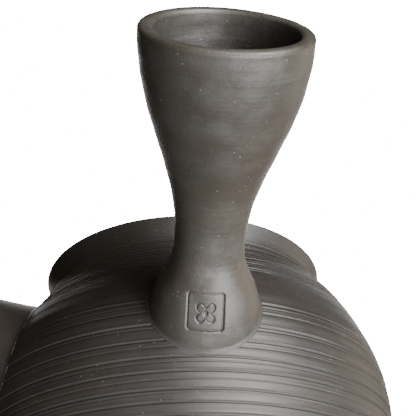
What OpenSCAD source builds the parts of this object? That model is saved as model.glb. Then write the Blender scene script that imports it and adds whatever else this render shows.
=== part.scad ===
// Side-handle teapot in unglazed black clay: a round thrown pot with a drop-in lid,
// a hollow flared handle at its side, a tapering spout and a ceramic strainer inside.
// All sizes are in millimetres. The pot stands on z = 0, centred on the Z axis.
// The handle points to -Y and the spout close to -X.

/* [Pot] */
// largest diameter of the pot's belly
body_d = 106.2; // [98:0.2:112]
// height of the rim above the table
rim_h = 82; // [80:0.5:86]
// outside diameter of the rim
rim_d = 77.6; // [76.4:0.2:80]
// outside diameter at the narrow neck under the rim
neck_d = 75.4; // [74:0.2:76.4]
// distance from the rim down to the narrow neck
neck_drop = 6.1; // [4.5:0.1:7.5]
// height of the widest part of the belly
belly_h = 39.2; // [35:0.2:42]
// diameter of the flat base
base_d = 66; // [56:1:72]
// wall thickness at the belly
wall = 3.1; // [2.6:0.1:4]
// thickness of the floor
floor_t = 3.8; // [3:0.1:5]
// diameter of the throat that the lid's flange hangs in
throat_d = 66; // [64:0.5:66.5]
// depth of the lid's ledge below the rim
ledge_drop = 5; // [4:0.1:6]

/* [Handle] */
// length of the handle from the pot's side to its open end
handle_l = 62; // [54:0.5:70]
// angle of the handle above level
handle_tilt = 30.8; // [26:0.2:35]
// height at which the handle's axis meets the pot's side
handle_z = 52.1; // [50:0.1:54]
// outside diameter of the flared open end
handle_end_d = 35.6; // [32:0.2:38]
// outside diameter at the handle's waist
handle_waist_d = 15.4; // [14.6:0.2:17]
// wall thickness of the hollow handle
handle_wall = 2.6; // [2.2:0.1:3]
// depth of the square mark pressed into the handle's underside
press_depth = 0.35; // [0.2:0.05:0.6]

/* [Spout] */
// angle of the spout above level
spout_tilt = 31; // [27:0.5:35]
// angle by which the spout is turned from the -X axis toward the handle
spout_turn = 8; // [0:1:12]
// outside diameter of the spout at its tip
spout_tip_d = 16.6; // [15:0.2:20]
// length of the spout's axis from the pot's side
spout_l = 47; // [42:0.5:50]
// wall thickness of the spout
spout_wall = 2.6; // [2.2:0.1:3]

/* [Strainer] */
// radius of the strainer's dome
dome_r = 19; // [18.4:0.2:20]
// wall thickness of the strainer
dome_wall = 1.7; // [1.4:0.1:2.2]
// diameter of each strainer hole
hole_d = 1.6; // [1.2:0.1:1.8]
// number of rings of holes round the middle one
hole_rings = 4; // [2:1:4]

/* [Lid] */
// gap between the lid and the pot, all round
lid_gap = 0.4; // [0.25:0.05:0.8]
// height of the lid's dome above the rim
lid_rise = 3.8; // [2:0.2:6]
// height of the knob above the lid
knob_h = 12; // [9:0.5:14]
// diameter of the knob
knob_d = 16; // [13:0.5:18]

/* [Hidden] */
$fn = 96;
rb = body_d / 2;
rr = rim_d / 2;
rn = neck_d / 2;
zn = rim_h - neck_drop;
r_base = base_d / 2;
r_throat = throat_d / 2;
z_ledge = rim_h - ledge_drop;
r_seat = rr - 3.1;
// the handle's axis leaves the pot's side at this radius
handle_r = 51.1;
// radius of the rounded lip at the handle's open end, and where its middle lies
lip_r = handle_wall / 2;
z_lip = handle_l - lip_r;
// the pressed mark: place along the handle, turn round it, tilt of the clay there, width, height
mark_at = [11.1, 0, 3.3];
mark_turn = -4.8;
mark_tilt = 63;
mark_w = 9;
mark_h = 9.2;
mark_line = 0.5;
// the spout's axis starts inside the pot's side, at this radius and height
spout_r = 44;
spout_z = 49.75;
// slant of the cut at the spout's tip
tip_slant = 24;
// hole through the pot's side behind the strainer, and the dome's middle beyond it
well_d = 28;
well_depth = 14;
// angle between neighbouring rings of strainer holes
ring_step = 8.6;
// how far the slip stands proud outside and inside the pot
slip_out = 1.2;
slip_in = 1.4;
// the lid's flange: outside radius, depth, thickness, and width of its foot's chamfer
r_flange = r_throat - lid_gap;
flange_h = 6.5;
flange_t = 3;
foot_c = 0.5;
// thickness of the lid's middle, and its vent
lid_t = 3.2;
vent_d = 2.4;
vent_y = -20;
clay = [0.17, 0.16, 0.155];
clay_dark = [0.13, 0.125, 0.12];
clay_slip = [0.2, 0.19, 0.18];

// point of a cubic curve through a and d with handles b and c
function cub(a, b, c, d, t) =
    pow(1 - t, 3) * a + 3 * pow(1 - t, 2) * t * b + 3 * (1 - t) * t * t * c + pow(t, 3) * d;
// run of points along that curve, from its first point to its last
function run(a, b, c, d, n) = [for (i = [0:n]) cub(a, b, c, d, i / n)];
// the same run without its first point
function tail(a, b, c, d, n) = [for (i = [1:n]) cub(a, b, c, d, i / n)];

// outside of the pot: x is how far it is grown for a fillet of clay laid on it
function under_pt(x, t) = cub([r_base + x, -x], [r_base + 12.5 + x, 2.2 - x],
    [rb + x, belly_h - 21], [rb + x, belly_h], t);
function over_pt(x, t) = cub([rb + x, belly_h], [rb + x, belly_h + 20],
    [rn + 3.9 + x, zn - 8.6], [rn + 0.1 + x, zn], t);
function outside(x) = concat(
    [[0, -x]],
    [for (i = [0:14]) under_pt(x, i / 14)],
    [for (i = [1:16]) over_pt(x, i / 16)],
    tail([rn + 0.1 + x, zn], [rn + 0.1 + x, zn + 2.6], [rr - 0.6 + x, rim_h - 2.4],
        [rr - 0.1 + x, rim_h - 0.7], 5),
    tail([rr - 0.1 + x, rim_h - 0.7], [rr + 0.1 + x, rim_h - 0.3],
        [rr - 0.15 + x, rim_h], [rr - 0.6 + x, rim_h], 4),
    [[0, rim_h]]);

// hollow of the pot: x is how far it is shrunk for a fillet laid inside it
function hollow(x) = concat(
    [[0, floor_t + x]],
    run([r_base - 4 - x, floor_t + x], [r_base + 9 - x, floor_t + 2.4 + x],
        [rb - wall - x, belly_h - 20], [rb - wall - x, belly_h], 12),
    tail([rb - wall - x, belly_h], [rb - wall - x, belly_h + 19.5],
        [r_throat + 6 - x, 66.4], [r_throat - x, 71], 12),
    [[r_throat - x, z_ledge], [0, z_ledge]]);

module body_solid() {
    rotate_extrude() polygon(outside(0));
}

// local +Z runs out along the spout
module on_spout() {
    rotate([0, 0, 180 + spout_turn])
        translate([spout_r, 0, spout_z])
            rotate([0, 90 - spout_tilt, 0])
                children();
}

// local +Z runs out along the handle, local +X is its underside
module on_handle() {
    translate([0, -handle_r, handle_z])
        rotate([0, 0, -90])
            rotate([0, 90 - handle_tilt, 0])
                children();
}

module body() {
    color(clay) difference() {
        body_solid();
        rotate_extrude() polygon(hollow(0));
        translate([0, 0, z_ledge - 0.01]) cylinder(r = r_throat, h = 1);
        translate([0, 0, z_ledge]) cylinder(r = r_seat, h = ledge_drop + 1);
        on_spout() cylinder(d = well_d, h = well_depth);
    }
}

// half section of the handle grown by x; it sinks into the pot below zero
function handle_side(x) = concat(
    run([13.3 + x, -9], [13.2 + x, 6], [handle_waist_d / 2 + x, 6],
        [handle_waist_d / 2 + x, 14.4], 12),
    tail([handle_waist_d / 2 + x, 14.4], [handle_waist_d / 2 + x, 33],
        [handle_end_d / 2 - 1.5 + x, handle_l - 21.6],
        [handle_end_d / 2 + x, z_lip], 16));

module handle_solid(x) {
    on_handle() rotate_extrude() polygon(concat([[0, -9]], handle_side(x),
        [[0, z_lip]]));
}

// square frame with a four-petalled flower, pressed into the underside of the handle
module mark() {
    intersection() {
        difference() {
            handle_solid(0.5);
            handle_solid(-press_depth);
        }
        on_handle() rotate([0, 0, mark_turn]) translate(mark_at) rotate([0, mark_tilt, 0]) {
            difference() {
                translate([-mark_w / 2, -mark_h / 2, -3])
                    cube([mark_w, mark_h, 6]);
                translate([mark_line - mark_w / 2, mark_line - mark_h / 2, -4])
                    cube([mark_w - 2 * mark_line, mark_h - 2 * mark_line, 8]);
            }
            for (a = [0:3]) rotate([0, 0, 45 + 90 * a]) translate([1.9, 0, -3])
                cylinder(d = 2.5, h = 6, $fn = 24);
        }
    }
}

module handle() {
    color(clay) difference() {
        union() {
            handle_solid(0);
            on_handle() translate([0, 0, z_lip]) rotate_extrude()
                translate([handle_end_d / 2 - lip_r, 0])
                    circle(r = lip_r, $fn = 32);
        }
        body_solid();
        on_handle() rotate_extrude() polygon(concat([[0, -9]], handle_side(-handle_wall),
            [[handle_end_d / 2 - handle_wall, handle_l + 2], [0, handle_l + 2]]));
        mark();
    }
}

module handle_luting() {
    color(clay_slip) difference() {
        intersection() {
            handle_solid(slip_out);
            rotate_extrude() polygon(outside(slip_out));
        }
        handle_solid(0);
        body_solid();
    }
}

// half section of the spout grown by x; it sinks into the pot below zero
function spout_side(x) = concat(
    [[24 + x, -12]],
    run([21.9 + x, 0], [16.6 + x, 11], [spout_tip_d / 2 + 0.6 + x, 31],
        [spout_tip_d / 2 + x, spout_l + 6], 18));

module spout_solid(x) {
    on_spout() rotate_extrude() polygon(concat([[0, -12]], spout_side(x),
        [[0, spout_l + 6]]));
}

module spout() {
    color(clay) difference() {
        spout_solid(0);
        body_solid();
        on_spout() rotate_extrude() polygon(concat([[0, -12]], spout_side(-spout_wall),
            [[spout_tip_d / 2 - spout_wall, spout_l + 8], [0, spout_l + 8]]));
        // slanting cut that leaves the lower lip longest
        on_spout() translate([0, 0, spout_l]) rotate([0, -tip_slant, 0])
            translate([-30, -30, 0]) cube([60, 60, 30]);
    }
}

module spout_luting() {
    color(clay_slip) difference() {
        intersection() {
            spout_solid(slip_out);
            rotate_extrude() polygon(outside(slip_out));
        }
        spout_solid(0);
        body_solid();
    }
}

module strainer_hole() {
    translate([0, 0, dome_r - dome_wall - 2]) cylinder(d = hole_d, h = dome_wall + 4);
}

module strainer() {
    color(clay_dark) intersection() {
        rotate_extrude() polygon(hollow(0));
        difference() {
            on_spout() translate([0, 0, well_depth]) sphere(r = dome_r);
            on_spout() translate([0, 0, well_depth]) sphere(r = dome_r - dome_wall);
            on_spout() translate([0, 0, well_depth]) {
                rotate([180, 0, 0]) strainer_hole();
                for (k = [1:hole_rings]) for (j = [0:6 * k - 1])
                    rotate([0, 0, j * 60 / k]) rotate([0, 180 - ring_step * k, 0])
                        strainer_hole();
            }
        }
    }
}

module strainer_luting() {
    color(clay_slip) difference() {
        intersection() {
            rotate_extrude() polygon(hollow(0));
            on_spout() translate([0, 0, well_depth]) sphere(r = dome_r + slip_in);
        }
        on_spout() translate([0, 0, well_depth]) sphere(r = dome_r);
        rotate_extrude() polygon(hollow(slip_in));
    }
}

// top of the lid, from its edge to its middle
function lid_top() = run([r_seat - lid_gap, z_ledge + 2.4],
    [r_seat - lid_gap - 0.2, z_ledge + 4.2], [20, rim_h + lid_rise], [0, rim_h + lid_rise], 16);
// underside of the lid, from its middle to the flange
function lid_under() = run([0, rim_h + lid_rise - lid_t], [14, rim_h + lid_rise - lid_t],
    [25, z_ledge + 2.2], [r_flange - flange_t, z_ledge - foot_c], 12);
// the flange that hangs in the throat, down its inside and up its outside
function lid_flange() = [
    [r_flange - flange_t, z_ledge - flange_h + foot_c],
    [r_flange - flange_t + foot_c, z_ledge - flange_h],
    [r_flange - foot_c, z_ledge - flange_h],
    [r_flange, z_ledge - flange_h + foot_c],
    [r_flange, z_ledge],
    [r_seat - lid_gap, z_ledge]];

module lid() {
    color(clay) difference() {
        rotate_extrude() polygon(concat(lid_top(), lid_under(), lid_flange()));
        translate([0, vent_y, z_ledge - 2]) cylinder(d = vent_d, h = 20, $fn = 32);
    }
}

module lid_knob() {
    color(clay) difference() {
        translate([0, 0, rim_h + lid_rise]) rotate_extrude() polygon(concat(
            [[0, -1]],
            run([5.6, -1], [4.2, 1.2], [4.2, 2.6], [5, 3.6], 6),
            tail([5, 3.6], [6.4, 5.2], [knob_d / 2, 5.4], [knob_d / 2, 7.6], 6),
            tail([knob_d / 2, 7.6], [knob_d / 2, 10], [4.5, knob_h], [0, knob_h], 8)));
        rotate_extrude() polygon(concat(lid_top(),
            [[0, z_ledge], [r_seat - lid_gap, z_ledge]]));
    }
}

body();
spout();
handle();
strainer();
lid();
lid_knob();
handle_luting();
spout_luting();
strainer_luting();
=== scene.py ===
import math

import bpy
import numpy as np
from mathutils import Matrix, Vector


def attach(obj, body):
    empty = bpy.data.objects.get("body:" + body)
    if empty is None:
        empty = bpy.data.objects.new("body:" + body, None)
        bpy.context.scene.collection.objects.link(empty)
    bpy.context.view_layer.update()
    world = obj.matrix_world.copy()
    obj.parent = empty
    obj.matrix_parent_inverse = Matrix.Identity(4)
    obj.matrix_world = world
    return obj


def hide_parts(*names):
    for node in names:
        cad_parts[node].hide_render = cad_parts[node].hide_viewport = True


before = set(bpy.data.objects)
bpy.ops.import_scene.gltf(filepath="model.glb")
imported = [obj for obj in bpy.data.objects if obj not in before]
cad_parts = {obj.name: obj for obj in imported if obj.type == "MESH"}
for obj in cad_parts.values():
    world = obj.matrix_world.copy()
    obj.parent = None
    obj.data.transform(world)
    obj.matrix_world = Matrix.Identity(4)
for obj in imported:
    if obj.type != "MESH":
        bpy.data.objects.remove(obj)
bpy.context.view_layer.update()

TURN = 2 * math.pi
MM = 0.001
ROOT, LID = "pot", "lid"            # the two bodies

# ------------------------------------------------------------------ sizes, in millimetres
RB, BELLY_Z = 53.1, 39.2            # belly radius and its height
RR, RIM_Z = 38.8, 82.0              # rim
RN, NECK_Z = 37.7, 75.9             # narrow neck under the rim
SHOULDER = (20.0, 3.9, 8.6)         # handles of the shoulder's curve: up, out, down
R_BASE, WALL, FLOOR = 33.0, 3.1, 3.8
R_THROAT, LEDGE_Z, R_SEAT = 33.0, 77.0, 35.7
NECK_SHIFT = -0.5                   # the neck and rim sit this far along X from the belly
WELL_R, WELL_DEPTH = 14.0, 14.0     # hole through the pot's side behind the strainer
SINK = 1.2                          # how far the handle's and spout's feet reach under the pot's skin

H_TILT, H_ROOT_R, H_Z = 30.8, 51.1, 52.1    # the handle's axis and where it meets the pot's side
H_LEN, H_END, H_WAIST, H_WALL = 62.0, 17.8, 7.7, 2.6
H_LIP = H_LEN - 1.3                 # where the handle's rounded lip starts
H_BOW = 0.45                        # the handle bows this far to +X on its way out
ROLL_IN, LIP_EXTRA = 0.25, 0.35     # the lip turns in, and its clay is thicker

S_TILT, S_TURN, S_ROOT_R, S_ROOT_Z = 31.0, 8.0, 44.0, 49.75
S_LEN, S_TIP, S_WALL, S_TIP_WALL = 47.0, 8.3, 2.6, 1.7
S_SLANT = math.radians(24)          # slant of the cut at the spout's tip

LID_GAP, LID_RISE, LID_T, KNOB_H, KNOB_R = 0.4, 3.8, 3.2, 12.0, 8.0
LID_TOP = RIM_Z + LID_RISE
VENT_R, VENT_Y = 1.2, -20.0

MARK_S, MARK_TURN = 2.95, math.radians(-4.8)    # the pressed mark: along the handle, round it
MARK_HALF, MARK_CORNER = 4.2, 0.7               # half its side, and its corners' radius
MARK_SLOPE = math.radians(27)                   # slope of the clay that it is pressed in
MARK_STEP = 0.105                               # mesh spacing over the mark


# ------------------------------------------------------------------ curves and meshes
def cub(a, b, c, d, n):
    """n + 1 points of the cubic curve through a and d with handles b and c."""
    t = np.linspace(0.0, 1.0, n + 1)[:, None]
    a, b, c, d = (np.array(p, float) for p in (a, b, c, d))
    return (1 - t) ** 3 * a + 3 * (1 - t) ** 2 * t * b + 3 * (1 - t) * t * t * c + t ** 3 * d


def path(*runs):
    """Joins runs of points, leaving out a point that repeats the one before."""
    out = []
    for run in runs:
        for p in np.atleast_2d(np.array(run, float)):
            if not out or np.hypot(*(p - out[-1])) > 1e-6:
                out.append(p)
    return np.array(out)


def walk(line, spacing):
    """Points along line, spacing(point) apart."""
    seg = np.hypot(*np.diff(line, axis=0).T)
    s = np.concatenate([[0], np.cumsum(seg)])
    at, out = 0.0, []
    while at < s[-1]:
        p = np.array([np.interp(at, s, line[:, 0]), np.interp(at, s, line[:, 1])])
        out.append(p)
        at += spacing(p)
    out.append(line[-1])
    return np.array(out)


def side(line):
    """Unit normals of a half section that runs with its outside on the right hand."""
    d = np.gradient(line, axis=0)
    n = np.stack([d[:, 1], -d[:, 0]], 1)
    return n / np.maximum(np.hypot(*n.T), 1e-9)[:, None]


def unit(vectors):
    return vectors / np.linalg.norm(vectors, axis=1)[:, None]


def bump(u):
    return np.exp(-u * u)


def smooth(x, low, high):
    """Rises smoothly from 0 at low to 1 at high."""
    u = np.clip((x - low) / (high - low), 0, 1)
    return u * u * (3 - 2 * u)


def ramp_up(x, low, width):
    """Rises straight from 0 at low to 1 a width further on."""
    return np.clip((x - low) / width, 0, 1)


def below(x, limit, soft):
    """1 where x is under limit and 0 over it, with an edge about soft wide."""
    return 1 / (1 + np.exp((x - limit) / soft))


def mesh_object(name, verts, faces, body, node):
    """A smooth-shaded piece, from vertices in millimetres, that stands for a CAD node."""
    mesh = bpy.data.meshes.new(name)
    mesh.from_pydata((np.asarray(verts) * MM).tolist(), [], faces)
    mesh.validate()
    mesh.update()
    mesh.polygons.foreach_set("use_smooth", [True] * len(mesh.polygons))
    obj = bpy.data.objects.new(name, mesh)
    bpy.context.collection.objects.link(obj)
    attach(obj, body)
    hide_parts(node)
    return obj


def bands(pairs, n):
    """Quads between pairs of rings of n vertices, each ring given by its first vertex."""
    j = np.arange(n)
    k = (j + 1) % n
    return np.vstack([np.stack([a + j, a + k, b + k, b + j], 1) for a, b in pairs]).tolist()


def loft_loop(name, rings, body, node):
    """Skins rings (m, n, 3), and joins the last ring to the first."""
    m, n = rings.shape[:2]
    faces = bands([(i * n, (i + 1) % m * n) for i in range(m)], n)
    return mesh_object(name, rings.reshape(-1, 3), faces, body, node)


def loft(name, rings, body, node):
    """Skins rings (m, n, 3), where the first and last rings shrink to one point each."""
    m, n = rings.shape[:2]
    verts = np.vstack([rings[1:-1].reshape(-1, 3), rings[0].mean(0), rings[-1].mean(0)])
    faces = bands([(i * n, (i + 1) * n) for i in range(m - 3)], n)
    first, last, top = len(verts) - 2, len(verts) - 1, (m - 3) * n
    j = np.arange(n)
    k = (j + 1) % n
    faces += np.stack([np.full(n, first), k, j], 1).tolist()
    faces += np.stack([top + j, top + k, np.full(n, last)], 1).tolist()
    return mesh_object(name, verts, faces, body, node)


def cut(obj, cutter):
    """Takes cutter out of obj for good, then deletes it."""
    mod = obj.modifiers.new("cut", "BOOLEAN")
    mod.operation = "DIFFERENCE"
    mod.solver = "EXACT"
    mod.object = cutter
    dg = bpy.context.evaluated_depsgraph_get()
    made = bpy.data.meshes.new_from_object(obj.evaluated_get(dg))
    obj.modifiers.clear()
    obj.data = made
    old = cutter.data
    bpy.data.objects.remove(cutter)
    bpy.data.meshes.remove(old)


# ------------------------------------------------------------------ the pot's side
def outer_line():
    """Half section of the outside, from the middle of the base to the top of the rim."""
    return path(
        [[0, 0], [R_BASE - 0.8, 0]],
        cub([R_BASE - 0.8, 0], [R_BASE + 12.5, 1.9], [RB, BELLY_Z - 21], [RB, BELLY_Z], 90),
        cub([RB, BELLY_Z], [RB, BELLY_Z + SHOULDER[0]],
            [RN + SHOULDER[1], NECK_Z - SHOULDER[2]], [RN + 0.25, NECK_Z - 0.6], 120),
        cub([RN + 0.25, NECK_Z - 0.6], [RN, NECK_Z], [RN, NECK_Z + 0.4], [RN + 0.02, NECK_Z + 0.8], 8),
        cub([RN + 0.02, NECK_Z + 0.8], [RN + 0.2, NECK_Z + 2.6], [RR - 0.6, RIM_Z - 2.4],
            [RR - 0.1, RIM_Z - 0.7], 30),
        cub([RR - 0.1, RIM_Z - 0.7], [RR + 0.1, RIM_Z - 0.3], [RR - 0.15, RIM_Z],
            [RR - 0.6, RIM_Z], 12))


def inner_line():
    """Half section of the inside, from the top of the rim down to the middle of the floor."""
    return path(
        cub([RR - 0.6, RIM_Z], [RR - 2.2, RIM_Z], [R_SEAT, RIM_Z - 0.2], [R_SEAT, RIM_Z - 1.2], 6),
        [[R_SEAT, LEDGE_Z + 0.4], [R_SEAT - 0.3, LEDGE_Z]],
        [[R_THROAT + 0.4, LEDGE_Z], [R_THROAT, LEDGE_Z - 0.4], [R_THROAT, 71]],
        cub([R_THROAT, 71], [R_THROAT + 6, 66.4], [RB - WALL, BELLY_Z + 19.5],
            [RB - WALL, BELLY_Z], 18),
        cub([RB - WALL, BELLY_Z], [RB - WALL, BELLY_Z - 20], [R_BASE + 9, FLOOR + 2.4],
            [R_BASE - 4, FLOOR], 16),
        [[18, FLOOR], [6, FLOOR], [0, FLOOR]])


OUTER = outer_line()
UPRIGHT = OUTER[(OUTER[:, 1] > 0.01) & (OUTER[:, 1] < RIM_Z - 0.01)]


def sway(z, az):
    """The shoulder and neck sit a little higher on the +X side, as thrown."""
    return 0.75 * np.cos(az) * smooth(z, 52, 62) * (1 - smooth(z, 75.5, 80.5))


def swell(z, az):
    """The shoulder is a little fuller on the +X side."""
    return 0.8 * (0.5 + 0.5 * np.cos(az)) ** 2 * bump((z - 68.0) / 5.5)


def r_out(z, az):
    """The pot's outside radius, without its turned lines."""
    z = z - sway(z, az)
    return np.interp(z, UPRIGHT[:, 1], UPRIGHT[:, 0]) + swell(z, az)


# turned lines: height, depth, half width, azimuth where deepest (degrees), evenness 0 to 1
BIG = [51.6, 48.6, 44.9, 41.1, 37.2, 33.9, 29.9, 27.4, 24.7, 21.4, 17.9, 13.6]
LINES = [(z, 0.17 if z > 47 else 0.30 if z > 23 else 0.24, 0.23, -60 - 2 * i, 0.4 if z > 47 else 0.85)
         for i, z in enumerate(BIG)]
# a fainter second line scratched beside some of them: height of the first, gap
LINES += [(z - gap, 0.11, 0.15, -40 - 15 * i, 0.45) for i, (z, gap) in enumerate(
    [(51.6, 1.3), (44.9, 0.9), (41.1, 1.5), (37.2, 1.1), (33.9, 1.7), (29.9, 0.8), (24.7, 1.2)])]
# comb lines on the shoulder, close together and of changing depth
COMB = [62.6 + 0.78 * i + 0.16 * math.sin(2.4 * i) for i in range(18)]
LINES += [(z, 0.17 + 0.06 * math.sin(1.9 * i), 0.17, -100 + 50 * math.sin(1.3 * i), 0.8)
          for i, z in enumerate(COMB)]


def ripple(z, seed, waves):
    """Smooth uneven bands along z: sum of sines, (wavelength, height) each."""
    rng = np.random.default_rng(seed)
    out = np.zeros_like(z)
    for length, height in waves:
        out = out + height * np.sin(TURN * z / length + rng.uniform(0, 6.28))
    return out


def turned(z, az):
    """How far the pot's surface stands off its smooth side, for heights z and azimuths az."""
    off = np.zeros(np.broadcast(z, az).shape)
    for i, (height, depth, half, deep_at, even) in enumerate(LINES):
        drift = 0.10 * np.sin(az + i * 1.7) + 0.05 * np.sin(2 * az + i * 2.9)
        fade = 0.5 + 0.5 * np.cos(az - math.radians(deep_at))
        patch = 0.5 + 0.5 * np.sin(3 * az + i * 2.3) * np.sin(az * 2 + i)
        d = depth * (even + (1 - even) * fade) * (0.8 + 0.2 * patch)
        u = (z - height - drift) / half
        off += d * (-bump(u) + 0.34 * bump((u - 1.8) / 0.8) + 0.14 * bump((u + 1.8) / 0.8))
    hand = ripple(z, 5, [(7.3, 0.05), (4.1, 0.03), (2.3, 0.015), (1.37, 0.008), (0.93, 0.005)])
    mid = ramp_up(z, 4, 8) * np.clip((79.5 - z) / 2.0, 0, 1)
    return off * mid + hand * mid * (0.75 + 0.25 * np.sin(az * 2 + z * 0.11))


def body_rows():
    """The outside's rows: close together on the comb lines and the grooves, wide between them."""
    grooves = np.array([entry[:3] for entry in LINES])

    def pitch(p):
        z = p[1]
        if z < 0.05:
            return 3.0
        if z > 60:
            return 0.17
        near = np.min(np.abs(z - grooves[:, 0]) / grooves[:, 2])
        return 0.13 if near < 3.2 else 0.32 if near < 6 else 0.7
    return walk(OUTER, pitch)


def body_piece():
    line, inner = body_rows(), inner_line()[1:]
    normal = side(line)
    height = line[:, 1][:, None]
    az = np.linspace(0, TURN, 224, endpoint=False)
    off = turned(height, az[None, :])
    off[line[:, 0] < R_BASE] = 0
    off = off + swell(height, az[None, :])
    r = line[:, 0][:, None] + normal[:, 0][:, None] * off
    z = height + normal[:, 1][:, None] * off + sway(height, az[None, :])
    shift = NECK_SHIFT * smooth(height, 68, 77)
    outside = np.stack([r * np.cos(az) + shift, r * np.sin(az), z], -1)
    r, z = inner[:, 0][:, None], inner[:, 1][:, None]
    inside = np.stack([r * np.cos(az), r * np.sin(az), z + 0 * az], -1)
    # the inside follows the rim's shift only at the rim
    inside[:3, :, 0] += NECK_SHIFT * np.array([1.0, 0.75, 0.4])[:, None]
    obj = loft("pot_body", np.concatenate([outside, inside], 0), ROOT, "body")
    cut(obj, well_cutter())
    return obj


def well_cutter():
    """A rod along the spout's axis, the size of the hole behind the strainer."""
    n = 96
    a = np.linspace(0, TURN, n, endpoint=False)
    ends = [around(spout_point, WELL_R, a, np.full(n, s)) for s in (-0.5, WELL_DEPTH)]
    j = np.arange(n)
    faces = bands([(0, n)], n) + [j[::-1].tolist(), (n + j).tolist()]
    mesh = bpy.data.meshes.new("hole")
    mesh.from_pydata((np.vstack(ends) * MM).tolist(), [], faces)
    cutter = bpy.data.objects.new("hole", mesh)
    bpy.context.collection.objects.link(cutter)
    return cutter


# ------------------------------------------------------------------ handle and spout axes
def axis_frame(turn, tilt):
    """Rows: underside direction, sideways direction, direction along the axis."""
    t, a = math.radians(turn), math.radians(tilt)
    flat = np.array([math.cos(t), math.sin(t), 0.0])
    up = np.array([0.0, 0.0, 1.0])
    along = flat * math.cos(a) + up * math.sin(a)
    under = flat * math.sin(a) - up * math.cos(a)
    return np.array([under, np.cross(along, under), along])


S_AWAY = math.radians(180 + S_TURN)
H_FRAME, S_FRAME = axis_frame(-90, H_TILT), axis_frame(180 + S_TURN, S_TILT)
H_FOOT = np.array([0.0, -H_ROOT_R, H_Z])
S_FOOT = np.array([S_ROOT_R * math.cos(S_AWAY), S_ROOT_R * math.sin(S_AWAY), S_ROOT_Z])


def spout_point(q, v, s):
    return S_FOOT + np.stack([q, v, s], -1) @ S_FRAME


def handle_point(q, v, s):
    v = v + H_BOW * bump((s / H_LEN - 0.72) / 0.3)
    return H_FOOT + np.stack([q, v, s], -1) @ H_FRAME


def around(point, r, ang, s):
    """Points at radius r and angles ang round the axis of point, at stations s along it."""
    return point(*np.broadcast_arrays(r * np.cos(ang), r * np.sin(ang), s))


# outside radius against station along the axis
H_LINE = path(
    cub([-9, 13.3], [6, 13.2], [6, H_WAIST], [14.4, H_WAIST], 60),
    cub([14.4, H_WAIST], [33, H_WAIST + 0.05], [H_LEN - 22.6, H_END - 1.1], [H_LIP, H_END], 90))
S_LINE = path(
    [[-12, 24]],
    cub([0, 21.9], [11, 16.6], [31, S_TIP + 0.6], [S_LEN + 6, S_TIP], 80))


def radius(line, s):
    return np.interp(s, line[:, 0], line[:, 1])


def meet(line, point, n, depth):
    """n angles, and how far along the axis the revolved line leaves the pot there, less depth."""
    a = np.linspace(0, TURN, n, endpoint=False)
    s = np.linspace(line[0, 0], line[0, 0] + 26, 900)
    r = radius(line, s)
    out = np.zeros(n)
    for i, t in enumerate(a):
        p = around(point, r, t, s)
        gap = np.hypot(p[:, 0], p[:, 1]) - r_out(p[:, 2], np.arctan2(p[:, 1], p[:, 0])) + depth
        inside = np.where(gap <= 0)[0]
        out[i] = s[min(inside[-1] + 1, len(s) - 1)] if len(inside) else s[0]
    return a, out


# ------------------------------------------------------------------ handle
def roll(s):
    """How far the handle's side is turned in at station s."""
    return ROLL_IN * smooth(s, H_LEN - 7.5, H_LEN - 0.3) ** 1.5


def mark(q, v, s):
    """Depth of the pressed square mark on the handle's underside: a frame and a plain flower."""
    ang = np.arctan2(v, q) - MARK_TURN
    y = (s - MARK_S) / math.cos(MARK_SLOPE)
    x = ang * np.clip(np.hypot(q, v), 8.5, 13.0) * 1.05 + 0.02 * y
    # distance from the frame's line, which has rounded corners
    straight = MARK_HALF - MARK_CORNER
    ax, ay = np.abs(x) - straight, np.abs(y) - straight
    d = np.hypot(np.maximum(ax, 0), np.maximum(ay, 0)) + np.minimum(np.maximum(ax, ay), 0)
    d = d - MARK_CORNER
    border = below(np.abs(d), 0.20 + 0.05 * (x > 0), 0.04)
    worn = np.clip(0.78 + 0.08 * x + 0.04 * np.abs(y), 0.45, 1.0)
    worn = worn * np.where(y > MARK_HALF - 0.8, 0.8, 1.0)
    # four petals and a seed
    out, turn = np.hypot(x, y), np.arctan2(y, x)
    petal = 2.6 * np.abs(np.sin(2 * turn)) ** 0.55
    petals = below(np.abs(out - petal), 0.20, 0.05) * (out > 0.9)
    seed = below(out, 0.55, 0.06)
    ground = below(d, -0.1, 0.2)
    near = np.abs(ang) < 0.7
    return near * (0.58 * border * worn + 0.4 * np.maximum(petals, seed) + 0.08 * ground)


def handle_angles():
    """Angles round the handle's axis, close together over the mark."""
    low, high = -0.52, 0.42
    return np.concatenate([np.linspace(low, high, 104), np.linspace(high, TURN + low, 92)[1:-1]])


def handle_stations(sunk):
    """Stations along the handle from sunk to the lip, close together over the mark."""
    out = [0.0]
    while out[-1] < H_LIP:
        s = out[-1]
        out.append(s + (MARK_STEP if s < 9.3 else 0.5 if s < 20 else 1.1 if s < H_LEN - 8 else 0.6))
    return np.concatenate([np.arange(sunk, 0, MARK_STEP), out[:-1], [H_LIP]])


def handle_outside(ang, start):
    """The outside, from each angle's own start under the pot's skin to the lip."""
    sunk = -1.6
    w = np.linspace(0, 1, 24)[:-1, None]
    s = np.vstack([start * (1 - w) + sunk * w,
                   np.maximum(handle_stations(sunk)[:, None], start)])
    s = np.maximum.accumulate(s, 0)
    r = radius(H_LINE, s) - roll(s)
    hand = 0.035 * np.sin(s * 0.9 + 1.3 * np.sin(ang)) + 0.03 * np.sin(s * 0.37 + ang * 2)
    hand = hand + 0.02 * np.sin(2.6 * s + ang) * ramp_up(s, 20, 10)
    soft = ramp_up(s, 2, 6) * np.clip((H_LEN - s) / 5, 0, 1)
    r = r + hand * soft - mark(r * np.cos(ang), r * np.sin(ang), s)
    return around(handle_point, r, ang, s)


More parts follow.
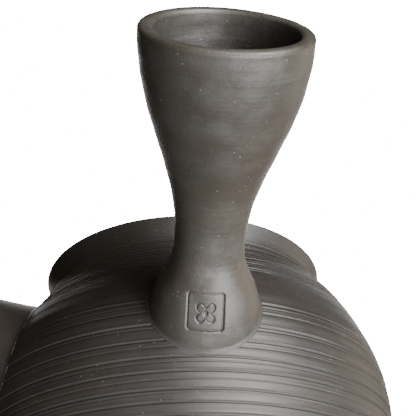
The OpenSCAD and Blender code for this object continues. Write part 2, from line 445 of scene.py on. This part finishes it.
def handle_lip(ang):
    """The rounded lip, cut a little lower on one side."""
    t = np.linspace(0, math.pi, 26)[1:-1, None]
    half, square = (H_WALL + LIP_EXTRA) / 2, 0.8
    r = H_END - roll(H_LIP) - half + half * np.sign(np.cos(t)) * np.abs(np.cos(t)) ** square
    uneven = 0.08 * np.sin(2 * ang + 0.6) - 0.12 * (1 + np.cos(ang - math.radians(145)))
    s = H_LIP + (1.15 + uneven) * np.sin(t) ** square
    return around(handle_point, r, ang, s)


def handle_bore(ang):
    """The hollow, from the lip back to the foot."""
    s = np.concatenate([np.linspace(H_LIP, 14, 40), np.linspace(13, 1, 12)])[:, None]
    thick = H_WALL + LIP_EXTRA * smooth(s, H_LEN - 9, H_LIP) + roll(s)
    r = radius(H_LINE, s) - thick + 0.04 * np.sin(s * 1.5 + ang)
    return around(handle_point, r, ang, s)


def handle_piece():
    ang = handle_angles()
    round_it, leave = meet(H_LINE, handle_point, 360, SINK)
    start = np.interp(np.mod(ang, TURN), np.append(round_it, TURN), np.append(leave, leave[0]))
    foot = around(handle_point, radius(H_LINE, start) - H_WALL, ang, start)[None]
    rings = [handle_outside(ang, start), handle_lip(ang), handle_bore(ang), foot]
    return loft_loop("handle", np.concatenate(rings, 0), ROOT, "handle")


# ------------------------------------------------------------------ spout and slip
def spout_piece():
    ang, start = meet(S_LINE, spout_point, 160, SINK)
    # the slanting end leaves the lower lip longest
    end = S_LEN + S_TIP * np.cos(ang) * math.tan(S_SLANT)
    lip = end - 0.9
    w = np.linspace(0, 1, 110)[:, None]
    s = start * (1 - w) + lip * w
    ripples = 0.02 * np.sin(s * 0.8 + ang) * ramp_up(s, 2, 5) * np.clip((40 - s) / 6, 0, 1)
    r = radius(S_LINE, s) + ripples + 0.25 * ramp_up(s, end - 4, 4) ** 2
    outside = around(spout_point, r, ang, s)
    t = np.linspace(0, math.pi, 12)[1:-1, None]
    half = S_TIP_WALL / 2
    r = S_TIP + 0.2 - half + half * np.cos(t)
    rounded = around(spout_point, r, ang, lip + half * np.sin(t))
    w = np.linspace(1, 0, 46)[:, None]
    s = start * (1 - w) + lip * w
    thick = S_TIP_WALL + (S_WALL - S_TIP_WALL) * np.clip((end - s) / 12, 0, 1)
    bore = around(spout_point, radius(S_LINE, s) - thick, ang, s)
    rings = np.concatenate([outside, rounded, bore], 0)
    return loft_loop("spout", rings, ROOT, "spout")


def luting_piece(name, line, point, reach, lift):
    """A thin fillet of slip round the foot of the handle or spout, ending in a low bead."""
    ang, s0 = meet(line, point, 288, 0.0)
    for _ in range(2):
        s0 = 0.25 * np.roll(s0, 1) + 0.5 * s0 + 0.25 * np.roll(s0, -1)
    foot = around(point, radius(line, s0), ang, s0)
    up = unit(around(point, radius(line, s0 + 1.0), ang, s0 + 1.0) - foot)
    # the pot's own outward normal there, and the direction away from the foot
    z, az, dz = foot[:, 2], np.arctan2(foot[:, 1], foot[:, 0]), 0.4
    slope = (r_out(z + dz, az) - r_out(z - dz, az)) / (2 * dz)
    normal = unit(np.stack([np.cos(az), np.sin(az), -slope], 1))
    away = np.cross(unit(np.roll(foot, -1, 0) - np.roll(foot, 1, 0)), normal)
    away = away * np.sign(((foot - foot.mean(0)) * away).sum(1))[:, None]
    uneven = (1 + 0.10 * np.sin(3 * ang + 1.0) + 0.06 * np.sin(7 * ang))[:, None]
    h, w = lift * uneven, reach * uneven
    rings = [foot + up * h - away * 0.25, foot + up * (h + 0.12) + away * 0.02]
    for u in np.linspace(0, 1, 18):
        bead = 0.02 + 0.10 * bump((u - 0.76) / 0.14)
        rings.append(foot + up * h * (1 - u) ** 2.2 + away * w * u + normal * bead)
    # back under the pot's skin
    rings.append(foot + away * (w + 0.06) - normal * 0.03)
    rings.append(foot + away * w * 0.8 - normal * 0.5)
    rings.append(foot - away * 0.5 - normal * 0.5)
    return loft_loop(name, np.array(rings), ROOT, name)


# ------------------------------------------------------------------ lid
def revolve(name, line, n, wobble):
    """Turns a half section into a piece of the lid; wobble(r, z) stands it off its line."""
    az = np.linspace(0, TURN, n, endpoint=False)
    r, z = line[:, 0][:, None] + 0 * az, line[:, 1][:, None] + 0 * az
    normal, d = side(line), wobble(r, z)
    r, z = r + normal[:, 0][:, None] * d, z + normal[:, 1][:, None] * d
    return loft(name, np.stack([r * np.cos(az), r * np.sin(az), z], -1), LID, name)


def lid_line():
    """Half section: underside from the middle out, flange, and top back to the middle."""
    edge, flange, bore = R_SEAT - LID_GAP, R_THROAT - LID_GAP, R_THROAT - 3.4
    under, foot = LID_TOP - LID_T, LEDGE_Z - 6
    return path(
        [[0, under]],
        cub([0, under], [14, under], [25, LEDGE_Z + 2.2], [bore, LEDGE_Z - 0.5], 30),
        [[bore, LEDGE_Z - 3], [bore, foot]],
        cub([bore, foot], [bore + 0.1, foot - 0.5], [flange - 0.2, foot - 0.7], [flange, foot], 8),
        [[flange, LEDGE_Z - 3], [flange, LEDGE_Z - 0.3]],
        [[flange + 0.2, LEDGE_Z], [edge - 0.4, LEDGE_Z]],
        cub([edge - 0.4, LEDGE_Z], [edge - 0.05, LEDGE_Z], [edge, LEDGE_Z + 0.1],
            [edge, LEDGE_Z + 0.5], 5),
        [[edge, LEDGE_Z + 2.4]],
        cub([edge, LEDGE_Z + 2.4], [edge - 0.2, LEDGE_Z + 4.2], [20, LID_TOP], [0, LID_TOP], 60))


def lid_turning(r, z):
    """Faint turned waves on the lid's top, with one groove by the edge and one by the knob."""
    on_top = (z > LEDGE_Z + 2.4) & (z > LID_TOP - LID_T - r * 0.12 + 0.6)
    wave = 0.035 * np.sin(r * 1.9) + 0.02 * np.sin(r * 4.1 + 1)
    wave = wave - 0.14 * bump((r - 27.5) / 0.5) - 0.12 * bump((r - 9.2) / 0.4)
    return np.where(on_top, wave * ramp_up(r, 6, 4), 0)


def lid_piece():
    line = walk(lid_line(), lambda p: 0.5 if p[1] > LEDGE_Z + 2 else 0.9)
    lid = revolve("lid", line, 192, lid_turning)
    bpy.ops.mesh.primitive_cylinder_add(vertices=40, radius=VENT_R * MM, depth=20 * MM,
                                        location=(0, VENT_Y * MM, 83 * MM))
    cut(lid, bpy.context.object)
    return lid


def knob_line():
    """Half section of the knob: foot, narrow neck, and a rounded head."""
    z = LID_TOP
    return path(
        [[0, z - 1.2], [5.4, z - 1.2]],
        cub([5.7, z - 0.7], [4.5, z + 0.4], [4.15, z + 1.6], [4.3, z + 2.6], 10),
        cub([4.3, z + 2.6], [4.5, z + 4.6], [KNOB_R, z + 4.6], [KNOB_R, z + 7.6], 16),
        cub([KNOB_R, z + 7.6], [KNOB_R, z + 10.2], [4.4, z + KNOB_H - 0.1],
            [0, z + KNOB_H - 0.4], 18))


def knob_piece():
    def turning(r, z):
        return 0.03 * np.sin(z * 3.1) * ramp_up(z, LID_TOP + 3, 2)
    return revolve("lid_knob", walk(knob_line(), lambda p: 0.35), 96, turning)


# ------------------------------------------------------------------ materials
def new_material(name):
    mat = bpy.data.materials.new(name)
    mat.use_nodes = True
    mat.node_tree.nodes.clear()
    return mat


class Nodes:
    """A material's Principled shader, with short calls that add nodes to it."""

    def __init__(self, name):
        self.material = new_material(name)
        self.tree = self.material.node_tree
        self.shader = self.node("ShaderNodeBsdfPrincipled")
        self.link(self.shader.outputs[0], self.node("ShaderNodeOutputMaterial").inputs[0])
        self.coord = self.node("ShaderNodeTexCoord").outputs["Object"]

    def node(self, kind, **values):
        made = self.tree.nodes.new(kind)
        for key, value in values.items():
            setattr(made, key, value)
        return made

    def link(self, value, socket):
        self.tree.links.new(value, socket)

    def feed(self, socket, value):
        """Links value if it is another node's output, or sets it on the socket."""
        if hasattr(value, "is_linked"):
            self.link(value, socket)
        else:
            socket.default_value = value

    def noise(self, scale, detail, rough=0.55, stretch=None):
        tex = self.node("ShaderNodeTexNoise")
        tex.inputs["Scale"].default_value = scale
        tex.inputs["Detail"].default_value = detail
        tex.inputs["Roughness"].default_value = rough
        where = self.coord
        if stretch:
            mapping = self.node("ShaderNodeMapping")
            mapping.inputs["Scale"].default_value = stretch
            self.link(where, mapping.inputs["Vector"])
            where = mapping.outputs[0]
        self.link(where, tex.inputs["Vector"])
        return tex.outputs["Fac"]

    def ramp(self, value, low, high, most=1.0):
        """0 up to low, rising to most at high."""
        made = self.node("ShaderNodeValToRGB")
        for stop, at, grey in zip(made.color_ramp.elements, (low, high), (0.0, most)):
            stop.position = at
            stop.color = (grey, grey, grey, 1)
        self.link(value, made.inputs[0])
        return made.outputs[0]

    def mix(self, share, a, b):
        made = self.node("ShaderNodeMix", data_type="RGBA")
        for i, value in ((0, share), (6, a), (7, b)):
            self.feed(made.inputs[i], value)
        return made.outputs[2]

    def math(self, operation, *values):
        made = self.node("ShaderNodeMath", operation=operation)
        for socket, value in zip(made.inputs, values):
            self.feed(socket, value)
        return made.outputs[0]

    def about_zero(self, value):
        return self.math("SUBTRACT", value, 0.5)

    def spread(self, value, from_range, to_range, **values):
        """Maps from_range to to_range."""
        made = self.node("ShaderNodeMapRange", **values)
        for key, at in zip(("From Min", "From Max", "To Min", "To Max"), (*from_range, *to_range)):
            made.inputs[key].default_value = at
        self.link(value, made.inputs["Value"])
        return made.outputs[0]


def dust(mat, colour):
    """Sparse tiny pale grits, about a quarter of a millimetre across or less."""
    cells = mat.node("ShaderNodeTexVoronoi", feature="F1")
    cells.inputs["Scale"].default_value = 900
    mat.link(mat.coord, cells.inputs["Vector"])
    chance = mat.node("ShaderNodeSeparateColor")
    mat.link(cells.outputs["Color"], chance.inputs[0])
    picked = mat.math("GREATER_THAN", chance.outputs[0], 0.6)
    size = mat.math("MULTIPLY_ADD", chance.outputs[1], 0.07, 0.04)
    dot = mat.math("MULTIPLY", mat.math("LESS_THAN", cells.outputs["Distance"], size), picked)
    return mat.mix(mat.math("MULTIPLY", dot, 0.5), colour, (0.22, 0.20, 0.17, 1))


def along_axis(mat, origin, direction):
    """How far each point lies along an axis, in metres."""
    rel = mat.node("ShaderNodeVectorMath", operation="SUBTRACT")
    rel.inputs[1].default_value = origin
    mat.link(mat.coord, rel.inputs[0])
    dot = mat.node("ShaderNodeVectorMath", operation="DOT_PRODUCT")
    dot.inputs[1].default_value = direction
    mat.link(rel.outputs[0], dot.inputs[0])
    return dot.outputs["Value"]


def clay(name, base, warm, rough, lined=False, grain=0.5, specular=0.5, mottle=0.0, lip=None):
    """Unglazed satin clay: uneven colour, fine striation, grain, scuffs and dust.

    lined adds striation round Z, darker in colour as painted shade of comb grooves. lip is the
    origin and direction of an axis, and how far along it a browner, duller lip starts.
    """
    mat = Nodes(name)
    inputs = mat.shader.inputs
    inputs["Specular IOR Level"].default_value = specular
    if lined:
        streak = mat.noise(1.0, 3, 0.6, (9, 9, 1500))
    else:
        streak = mat.noise(1.0, 2, 0.5, (260, 260, 260))
    patch = mat.noise(90, 5, 0.6)

    colour = mat.mix(mat.ramp(mat.noise(26, 4), 0.36, 0.66), (*base, 1), (*warm, 1))
    pale = [c * 1.4 + 0.001 for c in base]
    colour = mat.mix(mat.ramp(patch, 0.35, 0.7), colour, (*pale, 1))
    if lined:
        # painted groove shade: the colour darkens along the striation, where the comb grooves would be
        # in shade
        groove_shade = [c * 0.72 for c in base]
        colour = mat.mix(mat.ramp(streak, 0.38, 0.62, 0.55), colour, (*groove_shade, 1))
    colour = dust(mat, colour)

    # satin, with polished and scuffed places
    dull = mat.spread(mat.noise(55, 5, 0.62), (0.3, 0.7), rough)
    dull = mat.math("MULTIPLY_ADD", mat.about_zero(streak), 0.22 if lined else 0.11, dull)
    if mottle:
        blot = mat.ramp(mat.noise(150, 4, 0.65), 0.42, 0.60)
        dull = mat.math("MULTIPLY_ADD", mat.about_zero(blot), mottle, dull)
    if lip:
        origin, direction, start = lip
        s = along_axis(mat, origin, direction)
        by_lip = mat.spread(s, (start, start + 0.0010), (0, 1), interpolation_type="SMOOTHSTEP")
        colour = mat.mix(mat.math("MULTIPLY", by_lip, 0.8), colour, (0.0165, 0.0138, 0.0094, 1))
        dull = mat.math("MULTIPLY_ADD", by_lip, 0.06, dull)
        # faint rings left by the potter's fingers, in patches
        turns = mat.node("ShaderNodeTexNoise", noise_dimensions="1D")
        turns.inputs["Scale"].default_value = 1300
        turns.inputs["Detail"].default_value = 3
        mat.link(s, turns.inputs["W"])
        faint = mat.math("MULTIPLY", mat.about_zero(turns.outputs["Fac"]), patch)
        dull = mat.math("MULTIPLY_ADD", faint, 0.30, dull)
    mat.link(colour, inputs["Base Color"])
    mat.link(dull, inputs["Roughness"])

    height = mat.math("MULTIPLY", mat.noise(2600, 2, 0.5), 0.10 * grain)
    height = mat.math("ADD", height, mat.math("MULTIPLY", mat.noise(700, 3), 0.16 * grain))
    if lined:
        height = mat.math("ADD", height, mat.math("MULTIPLY", streak, 0.55))
        broad = mat.noise(1.0, 2, 0.5, (5, 5, 420))
        height = mat.math("ADD", height, mat.math("MULTIPLY", broad, 0.5))
    relief = mat.node("ShaderNodeBump")
    relief.inputs["Strength"].default_value = 0.35
    relief.inputs["Distance"].default_value = 0.0004
    mat.link(height, relief.inputs["Height"])
    mat.link(relief.outputs[0], inputs["Normal"])
    return mat.material


DARK = (0.0098, 0.0086, 0.0078)
WARM = (0.0152, 0.0120, 0.0088)
m_body = clay("clay_body", DARK, WARM, (0.36, 0.50), lined=True)
m_handle = clay("clay_handle", (0.0138, 0.0124, 0.0108), (0.0204, 0.0164, 0.0122), (0.38, 0.50),
                specular=0.62, grain=2.0, mottle=0.13,
                lip=(H_FOOT * MM, H_FRAME[2], (H_LEN - 1.7) * MM))
m_spout = clay("clay_spout", (0.0110, 0.0090, 0.0076), (0.0180, 0.0120, 0.0082), (0.42, 0.56))
m_slip = clay("clay_slip", (0.0110, 0.0096, 0.0085), (0.0155, 0.0120, 0.0094), (0.40, 0.52),
              grain=0.8, specular=0.6)
m_lid = clay("clay_lid", DARK, WARM, (0.36, 0.50))
m_knob = clay("clay_knob", DARK, WARM, (0.34, 0.46))
m_strainer = clay("clay_strainer", (0.0085, 0.0076, 0.0069), (0.0130, 0.0100, 0.0080),
                  (0.52, 0.66), grain=1.0)


def dress(obj, mat):
    if obj.material_slots:
        for slot in obj.material_slots:
            slot.material = mat
    else:
        obj.data.materials.append(mat)


# ------------------------------------------------------------------ pieces
dress(body_piece(), m_body)
dress(handle_piece(), m_handle)
dress(spout_piece(), m_spout)
dress(luting_piece("handle_luting", H_LINE, handle_point, reach=0.55, lift=0.42), m_slip)
dress(luting_piece("spout_luting", S_LINE, spout_point, reach=0.6, lift=0.5), m_slip)
dress(lid_piece(), m_lid)
dress(knob_piece(), m_knob)
dress(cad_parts["strainer"], m_strainer)
dress(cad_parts["strainer_luting"], m_slip)


# ------------------------------------------------------------------ floor, light, camera
def floor_material():
    """Pale to the camera and dull to other rays; clear from below and to shadow rays."""
    mat = new_material("floor")
    new, link = mat.node_tree.nodes.new, mat.node_tree.links.new
    white, dull = new("ShaderNodeBsdfDiffuse"), new("ShaderNodeBsdfDiffuse")
    glow = new("ShaderNodeEmission")
    white.inputs[0].default_value = (0.86, 0.855, 0.845, 1)
    glow.inputs[0].default_value = (1.0, 0.99, 0.97, 1)
    glow.inputs[1].default_value = 0.35
    dull.inputs[0].default_value = (0.25, 0.245, 0.235, 1)
    seen, above, clear = new("ShaderNodeAddShader"), new("ShaderNodeMixShader"), new("ShaderNodeMath")
    surface, rays = new("ShaderNodeMixShader"), new("ShaderNodeLightPath")
    clear.operation = "MAXIMUM"
    link(white.outputs[0], seen.inputs[0])
    link(glow.outputs[0], seen.inputs[1])
    link(rays.outputs["Is Camera Ray"], above.inputs[0])
    link(dull.outputs[0], above.inputs[1])
    link(seen.outputs[0], above.inputs[2])
    link(new("ShaderNodeNewGeometry").outputs["Backfacing"], clear.inputs[0])
    link(rays.outputs["Is Shadow Ray"], clear.inputs[1])
    link(clear.outputs[0], surface.inputs[0])
    link(above.outputs[0], surface.inputs[1])
    link(new("ShaderNodeBsdfTransparent").outputs[0], surface.inputs[2])
    link(surface.outputs[0], new("ShaderNodeOutputMaterial").inputs[0])
    return mat


def make_floor():
    half = 3.0
    mesh = bpy.data.meshes.new("floor")
    mesh.from_pydata([(-half, -half, 0), (half, -half, 0), (half, half, 0), (-half, half, 0)],
                     [], [(0, 1, 2, 3)])
    floor = bpy.data.objects.new("floor", mesh)
    bpy.context.collection.objects.link(floor)
    mesh.materials.append(floor_material())


def make_surround():
    """A weak warm glow all round, behind a white that only the camera sees."""
    world = bpy.data.worlds.new("studio")
    bpy.context.scene.world = world
    world.use_nodes = True
    tree = world.node_tree
    tree.nodes.clear()
    new, link = tree.nodes.new, tree.links.new
    glow, white = new("ShaderNodeBackground"), new("ShaderNodeBackground")
    glow.inputs[0].default_value = (1.0, 0.68, 0.40, 1)
    glow.inputs[1].default_value = 0.052
    white.inputs[0].default_value = (1, 1, 1, 1)
    white.inputs[1].default_value = 20.0
    either = new("ShaderNodeMixShader")
    link(new("ShaderNodeLightPath").outputs["Is Camera Ray"], either.inputs[0])
    link(glow.outputs[0], either.inputs[1])
    link(white.outputs[0], either.inputs[2])
    link(either.outputs[0], new("ShaderNodeOutputWorld").inputs[0])


def softbox(name, direction, distance, width, height, power, colour=(1, 1, 1)):
    """A soft light that looks at the pot from a direction, with sizes and distance in metres."""
    data = bpy.data.lights.new(name, "AREA")
    data.shape = "RECTANGLE"
    data.size, data.size_y = width, height
    data.energy = power
    data.color = colour
    obj = bpy.data.objects.new(name, data)
    d = Vector(direction).normalized()
    obj.location = Vector((0, -0.03, 0.06)) + d * distance
    obj.rotation_mode = "QUATERNION"
    obj.rotation_quaternion = (-d).to_track_quat("-Z", "Y")
    obj.visible_camera = False
    bpy.context.collection.objects.link(obj)


def make_camera(lens, azimuth, elevation, roll_deg, distance, aim):
    """A camera that looks at aim, from an azimuth and elevation in degrees."""
    data = bpy.data.cameras.new("camera")
    data.sensor_width = 36.0
    data.lens = lens
    data.clip_start = 0.01
    camera = bpy.data.objects.new("camera", data)
    bpy.context.collection.objects.link(camera)
    bpy.context.scene.camera = camera
    az, el, tip = (math.radians(a) for a in (azimuth, elevation, roll_deg))
    back = Vector((math.sin(az) * math.cos(el), -math.cos(az) * math.cos(el), math.sin(el)))
    right = Vector((math.cos(az), math.sin(az), 0))
    up = back.cross(right)
    axes = (right * math.cos(tip) + up * math.sin(tip), up * math.cos(tip) - right * math.sin(tip),
            back)
    placed = Matrix(axes).transposed().to_4x4()
    placed.translation = Vector(aim) + back * distance
    camera.matrix_world = placed


make_floor()
make_surround()
softbox("key", (0.59, -0.68, -0.43), 1.0, 0.45, 0.45, 35.0)
softbox("low", (0.25, -0.60, -0.76), 1.0, 0.8, 0.8, 33.5)
softbox("high", (0.40, -0.86, 0.30), 1.0, 0.6, 0.6, 25.0)
softbox("edge", (0.90, 0.25, -0.05), 1.0, 0.8, 1.5, 5.0, (1.0, 0.88, 0.72))
softbox("back", (0.1, 0.83, 0.54), 1.4, 1.4, 1.4, 15.0)
make_camera(77.88, -6.84, -33.0, -2.21, 0.2769, (0.0076, 0.0, 0.1096))
